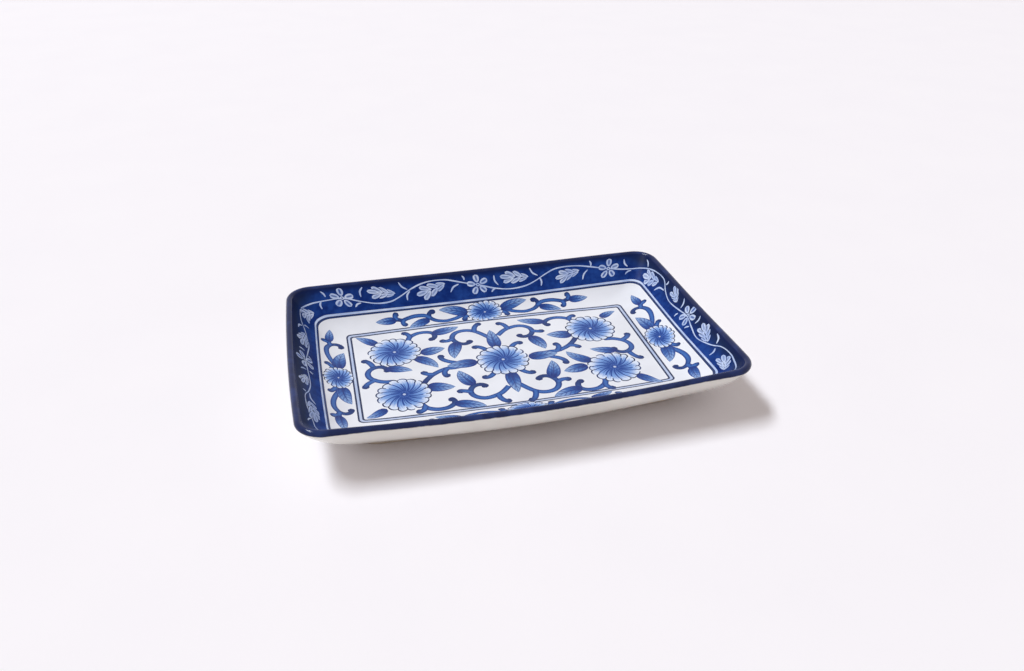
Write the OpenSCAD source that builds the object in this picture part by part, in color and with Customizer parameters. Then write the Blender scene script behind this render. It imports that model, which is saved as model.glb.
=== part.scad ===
// Rectangular soy sauce dish: one press-moulded porcelain body under its fired glaze coats.
// +Z is up, +X runs along the dish, and the origin is under the middle of the foot.

/* [Rim] */
// Overall length, over the lip at the middle of the short sides
rim_len = 130; // [110:1:160]
// Overall width, over the lip at the middle of the long sides
rim_wid = 87; // [76:1:110]
// Height of the lip above the table, at the corners
rim_h = 17; // [16:0.5:17.5]
// How much lower the lip runs at the middle of each side
rim_drop = 1.3; // [0:0.1:2]
// Corner radius in plan, at the outside of the lip
corner_r = 8; // [6:0.5:12]
// How far a long side swells outward between its corners
bow_long = 1.7; // [0:0.1:3]
// How far a short side swells outward between its corners
bow_short = 0.8; // [0:0.1:2]
// Thickness of the rounded lip, glaze included
lip_t = 2.2; // [2:0.1:2.8]

/* [Inside] */
// Height of the flat floor above the table
floor_z = 5.1; // [4.8:0.1:5.6]
// How far the edge of the flat floor lies inside the lip, on the short sides
floor_inset = 18; // [17:0.5:19.5]
// Corner radius of the flat floor
floor_r = 10; // [7:0.5:12]
// How far the fold between floor and wall lies inside the lip, on the short sides
fold_inset = 7.1; // [6.8:0.1:7.6]
// How much further in the floor and the fold lie on the long sides
long_in = 2.4; // [1.8:0.2:3]
// Slope that the floor has climbed to at the fold, in degrees
fold_slope = 37.5; // [36:0.5:39]
// Corner radius at the fold
fold_r = 4.5; // [4:0.5:6]
// How much higher the fold runs at the corners
fold_rise = 1.2; // [0.8:0.1:1.6]
// Slope of the inner wall face where it meets the lip, in degrees
inner_slope = 60; // [58:1:64]

/* [Outside] */
// Slope of the outer wall face where it meets the lip, in degrees
outer_slope = 67; // [66:1:72]
// How much further the outer face climbs at the corners, half way up
wall_rise = 1.2; // [0:0.1:1.4]
// How far the foot ring lies inside the lip
foot_inset = 15; // [14:0.5:15.5]
// Corner radius of the foot ring
foot_r = 8; // [6:0.5:9]
// Width of the bare bearing face
foot_w = 3; // [2:0.25:4]
// Height of the foot ring
foot_h = 1.9; // [1.5:0.1:2]

/* [Glaze] */
// Thickness of a glaze coat
glaze_t = 0.25; // [0.15:0.05:0.4]

/* [Hidden] */
// Steps of a section along the band, the inner wall, the inner part of the lip and the outer face
band_steps = 5;
wall_steps = 4;
lip_steps = 2;
outer_steps = 6;
// Steps of an outline along a short side, a long side and a corner
short_steps = 8;
long_steps = 10;
corner_steps = 6;
// Share of a side's swelling that is already there at the fold
fold_bow = 0.5;
// A quarter turn in degrees, which is also the direction straight up
quarter = 90;

function mix(a, b, share) = a + (b - a) * share;
function slope_of(v) = atan2(v[1], v[0]);

// Point at a share of the arc from p to q whose slope at q is end_slope, and the slope there
function arc_start(p, q, end_slope) = 2 * slope_of(q - p) - end_slope;
function arc_slope(p, q, end_slope, share) = mix(arc_start(p, q, end_slope), end_slope, share);
function arc_point(p, q, end_slope, share) = let(
    s0 = arc_start(p, q, end_slope),
    s = arc_slope(p, q, end_slope, share),
    radius = norm(q - p) / (2 * sin((end_slope - s0) / 2))
) p + radius * [sin(s) - sin(s0), cos(s0) - cos(s)];

// Stations of the finished section: how far out from the lip's outside, height, direction that
// the face looks in, share of the wall's height, corner radius, how much higher the station
// runs at the corners, and how much further in it lies on the long sides
function station(point, facing, share, r, rise, inward) = [point, facing, share, r, rise, inward];
function under_glaze(st) = station(
    st[0] - glaze_t * [cos(st[1]), sin(st[1])], st[1], st[2], st[3], st[4], st[5]);

lip_r = lip_t / 2;
lip_mid = [-lip_r, rim_h - lip_r];
inner_facing = quarter + inner_slope;
outer_facing = outer_slope - quarter;
inner_top = lip_mid + lip_r * [cos(inner_facing), sin(inner_facing)];
outer_top = lip_mid + lip_r * [cos(outer_facing), sin(outer_facing)];
floor_edge = [-floor_inset, floor_z];
band_run = floor_inset - fold_inset;
fold = [-fold_inset, floor_z + band_run * tan(fold_slope / 2)];
foot_top = [-foot_inset, foot_h];

band = [for (i = [0:band_steps]) let(share = i / band_steps) station(
    arc_point(floor_edge, fold, fold_slope, share),
    quarter + fold_slope * share, 0, mix(floor_r, fold_r, share),
    fold_rise * share * share, long_in)];

inner_wall = [for (i = [0:wall_steps]) let(share = i / wall_steps) station(
    arc_point(fold, inner_top, inner_slope, share),
    quarter + (i == 0 ? fold_slope : arc_slope(fold, inner_top, inner_slope, share)),
    share, mix(fold_r, corner_r + inner_top[0], share),
    mix(fold_rise, 0, share), mix(long_in, 0, share))];

// The lip turns from the inner face to its crest, to its outside and on to the outer face
lip_facings = concat(
    [for (i = [0:lip_steps - 1]) mix(inner_facing, quarter, i / lip_steps)],
    [for (i = [0:2 * lip_steps - 1]) mix(quarter, 0, i / (2 * lip_steps))],
    [0, outer_facing]
);
lip = [for (facing = lip_facings) let(point = lip_mid + lip_r * [cos(facing), sin(facing)])
    station(point, facing, 1, corner_r + point[0], 0, 0)];

outer_wall = [for (i = [0:outer_steps]) let(share = 1 - i / outer_steps) station(
    arc_point(foot_top, outer_top, outer_slope, share),
    i == outer_steps ? -quarter : arc_slope(foot_top, outer_top, outer_slope, share) - quarter,
    share, mix(foot_r, corner_r + outer_top[0], share),
    wall_rise * sin(2 * quarter * share), 0)];

// The foot ring's outer and inner edges
function foot_station(inset, z) = station(
    [-inset, z], -quarter, 0, foot_r + foot_inset - inset, 0, 0);
foot_in = foot_inset + foot_w;
base_z = foot_h + glaze_t;

// Outline of the dish at one station: half of it, and the other half by a half turn
function half_ring(st) = let(
    swell = mix(fold_bow, 1, st[2]),
    bl = bow_long * swell,
    bs = bow_short * swell,
    r = st[3],
    low = st[0][1] - rim_drop * st[2],
    high = st[0][1] + st[4],
    hx = rim_len / 2 + st[0][0] - bs,
    hy = rim_wid / 2 + st[0][0] - bl - st[5],
    cx = hx - r,
    cy = hy - r
) concat(
    [for (i = [0:short_steps - 1]) let(t = 2 * i / short_steps - 1, mid = 1 - t * t)
        [hx + bs * mid, cy * t, mix(high, low, mid)]],
    [for (i = [0:corner_steps - 1]) let(a = quarter * i / corner_steps)
        [cx + r * cos(a), cy + r * sin(a), high]],
    [for (i = [0:long_steps - 1]) let(t = 1 - 2 * i / long_steps, mid = 1 - t * t)
        [cx * t, hy + bl * mid, mix(high, low, mid)]],
    [for (i = [0:corner_steps - 1]) let(a = quarter + quarter * i / corner_steps)
        [-cx + r * cos(a), cy + r * sin(a), high]]
);
function ring(st) = let(half = half_ring(st)) concat(half, [for (p = half) [-p[0], -p[1], p[2]]]);

ring_n = 2 * (short_steps + long_steps + 2 * corner_steps);

// Two triangles between neighbouring rings a and b at step j, split along either diagonal
function strip(a, b, j, flip) = let(
    n = (j + 1) % ring_n,
    p = a * ring_n + j,
    q = a * ring_n + n,
    r = b * ring_n + n,
    s = b * ring_n + j
) flip ? [[p, q, s], [q, r, s]] : [[p, q, r], [p, r, s]];

// A solid skinned over rings. A closed one joins its last ring to its first, and the other
// kind is capped at both ends. From ring back on, the diagonals turn, so that a coat's under
// face meets the body's triangle for triangle.
module skin(stations, back, closed) {
    count = len(stations);
    joins = closed ? count : count - 1;
    sides = [for (i = [0:joins - 1], j = [0:ring_n - 1])
        each strip(i, (i + 1) % count, j, i >= back)];
    first_cap = [for (j = [ring_n - 1:-1:0]) j];
    last_cap = [for (j = [0:ring_n - 1]) (count - 1) * ring_n + j];
    polyhedron(
        points = [for (st = stations) each ring(st)],
        faces = closed ? sides : concat(sides, [first_cap, last_cap])
    );
}

// A glaze coat over a run of finished stations: out over the glaze and back along the body
module coat(run, closed) {
    back = [for (i = [len(run) - 1:-1:0]) under_glaze(run[i])];
    skin(concat(run, back), len(run), closed);
}

// Stations without their first one, which the run before already ends on
function rest(run) = [for (i = [1:len(run) - 1]) run[i]];

// Pressed porcelain: floor, leaning walls, rounded lip and the foot ring that it stands on
module porcelain_body() {
    covered = [for (st = concat(band, rest(inner_wall), rest(lip), rest(outer_wall))) under_glaze(st)];
    foot = [
        foot_station(foot_inset, 0), foot_station(foot_in, 0), foot_station(foot_in, base_z)
    ];
    stations = concat(covered, foot);
    color("whitesmoke") skin(stations, len(stations), false);
}

// Clear glaze over the floor and its climbing band
module well_glaze() {
    color("white") coat(band, false);
}

// Cobalt-stained glaze on the inner faces of the walls
module border_glaze() {
    color("#2f4f9a") coat(inner_wall, true);
}

// Dark blue line over the lip
module lip_glaze() {
    color("#1d2a55") coat(lip, true);
}

// Clear glaze down the outside, as far as the foot
module outer_glaze() {
    color("ivory") coat(outer_wall, true);
}

// Clear glaze under the floor, inside the foot ring
module base_glaze() {
    stations = [foot_station(foot_in, base_z), foot_station(foot_in, foot_h)];
    color("ivory") skin(stations, len(stations), false);
}

porcelain_body();
well_glaze();
border_glaze();
lip_glaze();
outer_glaze();
base_glaze();
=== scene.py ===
"""Blue-and-white soy sauce dish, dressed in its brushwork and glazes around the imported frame."""

import functools
import math
import random

import bpy
import numpy as np
from bpy.props import FloatProperty, FloatVectorProperty, PointerProperty
from mathutils import Matrix, Vector
from mathutils.geometry import delaunay_2d_cdt


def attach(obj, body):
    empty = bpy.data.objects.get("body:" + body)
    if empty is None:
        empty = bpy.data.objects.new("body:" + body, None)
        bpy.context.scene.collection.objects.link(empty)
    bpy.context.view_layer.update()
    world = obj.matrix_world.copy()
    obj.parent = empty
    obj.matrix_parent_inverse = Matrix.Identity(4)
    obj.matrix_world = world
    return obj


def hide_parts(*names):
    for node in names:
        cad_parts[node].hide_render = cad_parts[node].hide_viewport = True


bl_info = {
    "name": "Soy Sauce Dish",
    "version": (1, 0, 0),
    "blender": (4, 5, 0),
    "location": "3D View > Sidebar > Dish",
    "description": "Builds a blue-and-white soy sauce dish from its section, glazes and brushwork",
    "category": "Add Mesh",
}

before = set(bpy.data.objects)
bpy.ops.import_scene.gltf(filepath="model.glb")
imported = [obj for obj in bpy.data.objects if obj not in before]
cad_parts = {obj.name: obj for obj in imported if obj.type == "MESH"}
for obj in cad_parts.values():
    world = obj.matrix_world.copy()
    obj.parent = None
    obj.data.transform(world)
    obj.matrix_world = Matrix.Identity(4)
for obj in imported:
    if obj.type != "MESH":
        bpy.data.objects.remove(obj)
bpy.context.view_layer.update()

MM = 0.001
QUARTER = math.pi / 2
# Share of a side's swelling that is already there at the fold
FOLD_BOW = 0.5
# The lip's lift towards a corner: how far along the lift a side ends, and how late it comes
SIDE_END = 0.9
LIFT_POWER = 1.3
# Steps of an outline along a short side, a corner, a long side and a corner
OUTLINE_STEPS = (56, 16, 88, 16)
# Places round an outline at the middles of the right, back, left and front sides
MIDDLES = np.array((0.5, 2.5, 4.5, 6.5))
# Rings along each face of the body, over the lip, down the outside and under a painted coat
BODY_RINGS = 13
LIP_RINGS = 19
OUTER_RINGS = 21
UNDER_RINGS = 7
# How far the foot's edges are worn off, in mm
FOOT_WORN = 0.45
# Faces that meet at more than this stay sharp
SHARP = math.radians(38)
# How often the search for a place's share of the band is halved
HALVINGS = 24
# Where the border's unrolled run starts, in mm from the middle of the front side
SEAM = -25.2
# Points closer than this to an edge of the unrolled border lie on it, in mm
CLOSE = 1e-4
# Cuts keep only what lies inside a patch
INSIDE = 1
# Points closer than this are one, and patches thinner than this are left out, in mm
SAME = 1e-6
SLIVER = 3e-4
# Seeds of the well's and the border's chance
WELL_SEED = 11
BORDER_SEED = 23
# The well's staggered grid: half size and steps in mm, and how far up the band it goes
GRID_HALF = (57, 35)
GRID_STEP = (1.4, 1.25)
GRID_SHARE = 0.93
# Slopes of the well are taken over this step in mm, a little further inside its rim
SLOPE_STEP = 0.05
SLOPE_IN = 0.06
# The border's normals are taken over this step, in mm
WALL_STEP = 0.04
# Points round the outline and up the wall at which the border is measured, and its grid's rows
RUN_POINTS = 801
CLIMB_POINTS = 9
BORDER_ROWS = 8
# How far apart the hair marks lie of strokes that differ in tone
STROKES_APART = 37.0
# How strongly the glaze mirrors the room, against plain glass at 0.5
GLOSS = 0.18
# Finishes of the painted sheets, in the order of their material slots
KINDS = ("ground", "stem", "leaf", "petal", "line", "tint", "wash", "reserve")
# Half side of the table and how far it lies under the foot, in mm
TABLE_HALF = 4000
TABLE_DOWN = 0.02
# How far the soft lamp stands off, in metres, and the way to it
LAMP_FAR = 20
LAMP_WAY = (-8.0, 3.2, 15.7)
# Tints of the lamp and of the light all round
LAMP_TINT = (0.959, 1.016, 1.066)
SKY_TINT = (1.0, 0.9, 0.84)
# The backdrop that the camera sees, which is also the table's second tone
BACKDROP = "#f9f6fb"
# Point that the camera looks at, in mm
LOOK_AT = (6.975, 17.717, 2.148)


def linear(code):
    """Linear colour of an sRGB hex value."""
    parts = [int(code[i:i + 2], 16) / 255 for i in (1, 3, 5)]
    return tuple(c / 12.92 if c <= 0.04045 else ((c + 0.055) / 1.055) ** 2.4 for c in parts)


def length(name, description, mm):
    """A length that a user may change, given in mm and kept in metres."""
    return FloatProperty(name=name, description=description, default=mm * MM, unit="LENGTH")


def slope(name, description, degrees):
    """A slope that a user may change, given in degrees."""
    return FloatProperty(
        name=name, description=description, default=math.radians(degrees), subtype="ANGLE"
    )


def colour(name, description, code):
    """A colour that a user may change, given as an sRGB hex value."""
    return FloatVectorProperty(
        name=name, description=description, default=linear(code), subtype="COLOR", min=0, max=1
    )


class DishSizes(bpy.types.PropertyGroup):
    """Sizes of the dish, the same as in its source."""

    rim_len: length("Length", "Over the lip, at the middle of the short sides", 130)
    rim_wid: length("Width", "Over the lip, at the middle of the long sides", 87)
    rim_h: length("Height", "Of the lip above the table, at the corners", 17)
    rim_drop: length("Lip drop", "How much lower the lip runs at the middle of a side", 1.3)
    corner_r: length("Corner radius", "At the outside of the lip", 8)
    bow_long: length("Long bow", "How far a long side swells outward", 1.7)
    bow_short: length("Short bow", "How far a short side swells outward", 0.8)
    lip_t: length("Lip thickness", "Across the rounded lip, glaze included", 2.2)
    floor_z: length("Floor height", "Of the flat floor above the table", 5.1)
    floor_inset: length("Floor inset", "Of the flat floor's edge from the lip, on a short side", 18)
    floor_r: length("Floor radius", "At the corners of the flat floor", 10)
    fold_inset: length("Fold inset", "Of the fold between floor and wall, on a short side", 7.1)
    long_in: length("Long inset", "How much further in floor and fold lie on a long side", 2.4)
    fold_r: length("Fold radius", "At the corners of the fold", 4.5)
    fold_rise: length("Fold rise", "How much higher the fold runs at the corners", 1.2)
    wall_rise: length("Wall rise", "How much further the outer face climbs at the corners", 1.2)
    foot_inset: length("Foot inset", "Of the foot ring from the lip", 15)
    foot_r: length("Foot radius", "At the corners of the foot ring", 8)
    foot_w: length("Foot width", "Of the bare bearing face", 3)
    foot_h: length("Foot height", "Of the foot ring", 1.9)
    glaze_t: length("Glaze thickness", "Of one fired coat", 0.25)
    fold_slope: slope("Fold slope", "Of the floor where it reaches the fold", 37.5)
    inner_slope: slope("Inner slope", "Of the inner wall where it meets the lip", 60)
    outer_slope: slope("Outer slope", "Of the outer wall where it meets the lip", 67)
    panel_turn: slope("Panel turn", "How far the painted panel is out of true", -0.85)


class DishColours(bpy.types.PropertyGroup):
    """Colours of the glazes and of the brushwork."""

    ground: colour("Ground", "White porcelain under clear glaze", "#f0f2f9")
    ground_dull: colour("Ground, dull", "Where the clear glaze lies thicker", "#e8eaf1")
    deep: colour("Deep cobalt", "Loaded brush", "#263f8e")
    pale: colour("Pale cobalt", "Thinned tone at leaf tips and petal ends", "#8fafdd")
    tint: colour("Tint", "Thin wash between the frame's lines", "#b3c2e3")
    line: colour("Line", "Fine outlines", "#29324f")
    wash: colour("Wash", "Border wash, thick", "#0d2a70")
    wash_thin: colour("Wash, thin", "Border wash, thin", "#214692")
    reserve: colour("Reserve", "Lines left pale in the border wash", "#b0c3eb")
    lip: colour("Lip", "Dark line over the lip", "#122150")
    outside: colour("Outside", "Clear glaze over the outer wall", "#eceae4")
    biscuit: colour("Biscuit", "Bare fired porcelain of the foot", "#ded2c3")
    table: colour("Table", "Plain pale floor under the dish", "#fdfafe")


class DishStage(bpy.types.PropertyGroup):
    """Light and camera."""

    lens: FloatProperty(name="Lens", description="Focal length", default=29.88, unit="CAMERA")
    distance: length("Distance", "From the camera to the point it looks at", 283.2)
    turn: slope("Turn", "Of the camera round the dish", -14.5)
    rise: slope("Rise", "Of the camera above the table", 30.38)
    roll: slope("Roll", "Of the camera about its own axis", 0.14)
    sun: FloatProperty(name="Lamp", description="Strength of the soft lamp", default=2.15, min=0)
    lamp_wide: FloatProperty(name="Lamp width", description="Angle in degrees", default=9)
    lamp_long: FloatProperty(name="Lamp length", description="Angle in degrees", default=28)
    sky: FloatProperty(name="Sky", description="Strength all round", default=0.42, min=0)


def mix(a, b, share):
    """Value at a share of the way from a to b."""
    return a + (b - a) * share


class Form:
    """The dish's finished section and outlines in mm, worked out from its sizes."""

    def __init__(self, sizes):
        for key in DishSizes.__annotations__:
            value = getattr(sizes, key)
            setattr(self, key, value if key.endswith(("slope", "turn")) else value / MM)
        self.lip_r = self.lip_t / 2
        self.lip_mid = np.array((-self.lip_r, self.rim_h - self.lip_r))
        self.inner_facing = QUARTER + self.inner_slope
        self.outer_facing = self.outer_slope - QUARTER
        self.inner_top = self.lip_mid + self.lip_r * self.toward(self.inner_facing)
        self.outer_top = self.lip_mid + self.lip_r * self.toward(self.outer_facing)
        self.floor_edge = np.array((-self.floor_inset, self.floor_z))
        climb = (self.floor_inset - self.fold_inset) * math.tan(self.fold_slope / 2)
        self.fold = np.array((-self.fold_inset, self.floor_z + climb))
        self.foot_top = np.array((-self.foot_inset, self.foot_h))

    @staticmethod
    def station(out, z, facing, share, r, rise, inward):
        """Rows for stations of the section.

        How far out from the lip's outside, height, direction that the face looks in, share of
        the wall's height, corner radius, how much higher the station runs at the corners, and
        how much further in it lies on the long sides.
        """
        return np.stack(np.broadcast_arrays(out, z, facing, share, r, rise, inward), -1)

    @staticmethod
    def toward(facing):
        """Unit vector of a facing in the section."""
        return np.stack((np.cos(facing), np.sin(facing)), -1)

    @staticmethod
    def arc(start, end, end_slope, share):
        """Points and slopes along the arc from start to end that ends at end_slope."""
        chord = end - start
        first = 2 * math.atan2(chord[1], chord[0]) - end_slope
        at = mix(first, end_slope, share)
        radius = math.hypot(*chord) / (2 * math.sin((end_slope - first) / 2))
        out = start[0] + radius * (np.sin(at) - math.sin(first))
        return out, start[1] + radius * (math.cos(first) - np.cos(at)), at

    def band(self, share):
        """Stations on the climbing band, from the flat floor's edge to the fold."""
        out, z, at = self.arc(self.floor_edge, self.fold, self.fold_slope, share)
        r = mix(self.floor_r, self.fold_r, share)
        return self.station(out, z, at + QUARTER, 0, r, self.fold_rise * share ** 2, self.long_in)

    def wall(self, share):
        """Stations on the inner wall, from the fold to the lip."""
        out, z, at = self.arc(self.fold, self.inner_top, self.inner_slope, share)
        at = np.where(share <= 0, self.fold_slope, at)
        r = mix(self.fold_r, self.corner_r + self.inner_top[0], share)
        left = 1 - share
        return self.station(out, z, at + QUARTER, share, r, self.fold_rise * left, self.long_in * left)

    def lip(self, share):
        """Stations over the lip, from the inner wall to the outer one."""
        facing = mix(self.inner_facing, self.outer_facing, share)
        point = self.lip_mid + self.lip_r * self.toward(facing)
        out, z = point[..., 0], point[..., 1]
        return self.station(out, z, facing, 1, self.corner_r + out, 0, 0)

    def outer(self, share):
        """Stations down the outer wall, from the lip to the foot."""
        left = 1 - share
        out, z, at = self.arc(self.foot_top, self.outer_top, self.outer_slope, left)
        facing = np.where(share >= 1, 0, at) - QUARTER
        r = mix(self.foot_r, self.corner_r + self.outer_top[0], left)
        return self.station(out, z, facing, left, r, self.wall_rise * np.sin(math.pi * share), 0)

    def foot(self, inset, z):
        """A station on the foot ring."""
        return self.station(-inset, z, -QUARTER, 0, self.foot_r + self.foot_inset - inset, 0, 0)

    def under(self, stations):
        """The same stations on the body, under the glaze."""
        sunk = stations.copy()
        sunk[..., :2] -= self.glaze_t * self.toward(stations[..., 2])
        return sunk

    def core(self, st):
        """The bowed core that an outline is rounded from.

        Half sides, then for the long and the short side: radius, centre and where it ends.
        """
        swell = mix(FOLD_BOW, 1, st[..., 3])
        bow_l, bow_s = self.bow_long * swell, self.bow_short * swell
        cx = self.rim_len / 2 + st[..., 0] - bow_s - st[..., 4]
        cy = self.rim_wid / 2 + st[..., 0] - bow_l - st[..., 4] - st[..., 6]
        far_l = (cx * cx + bow_l * bow_l) / (2 * bow_l)
        far_s = (cy * cy + bow_s * bow_s) / (2 * bow_s)
        return (cx, cy, far_l, far_s, cy + bow_l - far_l, cx + bow_s - far_s,
                np.arcsin(cx / far_l), np.arcsin(cy / far_s))

    def height(self, st, corner, t):
        """Heights of stations st at t, which runs from -1 to 1 along a corner or a side."""
        off = np.minimum(np.abs(t), 1)
        lift = np.where(corner, 1 - (1 - SIDE_END) * off, SIDE_END * off)
        low = st[..., 1] - self.rim_drop * st[..., 3]
        return mix(st[..., 1] + st[..., 5], low, np.cos(QUARTER * lift) ** LIFT_POWER)

    def at(self, st, place):
        """Points of stations st at places round the outline.

        Places run anticlockwise from 0 to 8: right side, corner, back, corner, left side,
        corner, front, corner.
        """
        st = np.asarray(st, float)
        place = np.asarray(place, float) % 8
        part = np.floor(place).astype(int)
        along = place - part
        half_turn = np.where(part >= 4, -1.0, 1.0)
        part = part % 4
        r = st[..., 4]
        cx, cy, far_l, far_s, mid_l, mid_s, end_l, end_s = self.core(st)
        t = 2 * along - 1
        side = end_s * t
        right = mid_s + (far_s + r) * np.cos(side), (far_s + r) * np.sin(side)
        turn = end_s + np.where(part == 3, 1 - along, along) * (QUARTER - end_l - end_s)
        corner = cx + r * np.cos(turn), cy + r * np.sin(turn)
        side = -end_l * t
        back = (far_l + r) * np.sin(side), mid_l + (far_l + r) * np.cos(side)
        x, y = (np.where(part == 0, right[i], np.where(part == 2, back[i], corner[i])) for i in (0, 1))
        x = np.where(part == 3, -x, x)
        return np.stack((half_turn * x, half_turn * y, self.height(st, part % 2 == 1, t)), -1)

    def outside(self, xy, st):
        """Signed distance of places xy from the outlines of stations st, positive outside."""
        x, y = np.abs(xy[..., 0]), np.abs(xy[..., 1])
        cx, cy, far_l, far_s, mid_l, mid_s, end_l, end_s = self.core(st)
        to_long = np.hypot(x, y - mid_l) - far_l
        to_short = np.hypot(x - mid_s, y) - far_s
        past_long = np.arctan2(x, y - mid_l) > end_l
        past_short = np.arctan2(y, x - mid_s) > end_s
        sides = np.where(past_long, to_short, np.maximum(to_long, to_short))
        sides = np.where(past_short & ~past_long, to_long, sides)
        return np.where(past_long & past_short, np.hypot(x - cx, y - cy), sides) - st[..., 4]

    def well(self, xy):
        """Points of the well's surface over places xy in plan."""
        low, high = np.zeros(len(xy)), np.ones(len(xy))
        for _ in range(HALVINGS):
            mid = (low + high) / 2
            inside = self.outside(xy, self.band(mid)) < 0
            high = np.where(inside, mid, high)
            low = np.where(inside, low, mid)
        st = self.band((low + high) / 2)
        x, y = np.abs(xy[:, 0]), np.abs(xy[:, 1])
        cx, cy, _, _, mid_l, mid_s, end_l, end_s = self.core(st)
        on_long = np.arctan2(x, y - mid_l) / end_l
        on_short = np.arctan2(y, x - mid_s) / end_s
        turn = (np.arctan2(y - cy, x - cx) - end_s) / (QUARTER - end_l - end_s)
        corner = (on_long > 1) & (on_short > 1)
        t = np.where(corner, 2 * turn - 1, np.where(on_long > 1, on_short, on_long))
        return np.column_stack((xy, self.height(st, corner, t)))


def outline_places():
    """Places round the outline at which every ring has a point."""
    steps = OUTLINE_STEPS * 2
    return np.concatenate([part + np.arange(count) / count for part, count in enumerate(steps)])


def unit(vectors):
    """Vectors of length one."""
    return vectors / np.linalg.norm(vectors, axis=1)[:, None]


# Brushwork

# A flower's petals, how far they swirl, and how far out the notches between them lie
PETALS = 17
SWIRL = 0.6
NOTCH = 0.92
# How far a petal strays to either side, against its width
PETAL_STRAY = (-0.14, 0.14)
# Shares of a flower's size, by chance: where a petal's tip lies, how far its shading reaches, and
# how far the hairs between petals and those on petals do
PETAL_TIP = (0.99, 1.05)
PETAL_REACH = (0.92, 0.98)
HAIR_REACH = (0.7, 0.8, 0.88)
SHORT_HAIR_REACH = (0.45, 0.72)
# How wide a hair is, in mm, at shares of the flower's size
HAIR_AT = (0.1, 0.35, 0.9)
HAIR_WIDE = (0.13, 0.27, 0.15)
# Share of the petals that have a hair of their own
HAIRY = 0.85
# Shares of a flower's size that its eye and the pale spot in it take
EYE = 0.13
EYE_SPOT = 0.06
# How much of the way to its tip a leaf runs, how full it is, and how it bends: shares of its run,
# and shares of its bend there
LEAF_RUN = 0.95
LEAF_FULL = 2.55
LEAF_BEND = ((0, 0), (0.33, 0.75), (0.7, 0.8), (1, 0))
# Loops inside the fold: insets in mm on the short and the long sides, finish and tone
FOLD_LOOPS = (
    ((0.05, 0.05), "reserve", 0.0), ((0.5, 0.64), "line", 0.6), ((1.1, 1.25), "ground", 0.2),
)
# The panel's frame from outside in: half length, half width, corner radius, finish and tone
FRAME_LOOPS = (
    (47.1, 24.75, 1.7, "line", 0.75), (46.6, 24.25, 1.4, "tint", 0.5),
    (45.9, 23.55, 1.0, "line", 0.75), (45.35, 23.0, 0.7, "ground", 0.6),
)
# How far the frame's long sides bow outward, in mm
FRAME_BOW = 1.2
# How far the border's wash runs over the fold on the left side, in mm
LEFT_WASH = 1.25
# Half widths of the stems in the panel, the long bands and the short ones, in mm
PANEL_HALF = 0.92
LONG_HALF = 0.84
SHORT_HALF = 0.8
# Half sizes of the flowers in the panel, at its middle and in the long bands, in mm
PANEL_BLOOM = (7.9, 8.2)
MIDDLE_BLOOM = (8.0, 8.3)
LONG_BLOOM = (6.1, 4.2)
# Half width of a short band's flower in mm
SHORT_BLOOM = 4.3
# Where the panel, its middle flower, a long band's flower and a short band's flower lie, in mm
PANEL_AT = (-0.1, 0.0)
MIDDLE_AT = (-0.5, -0.7)
LONG_AT = (0.3, 30.1)
SHORT_AT = (51.7, -0.6)
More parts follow.
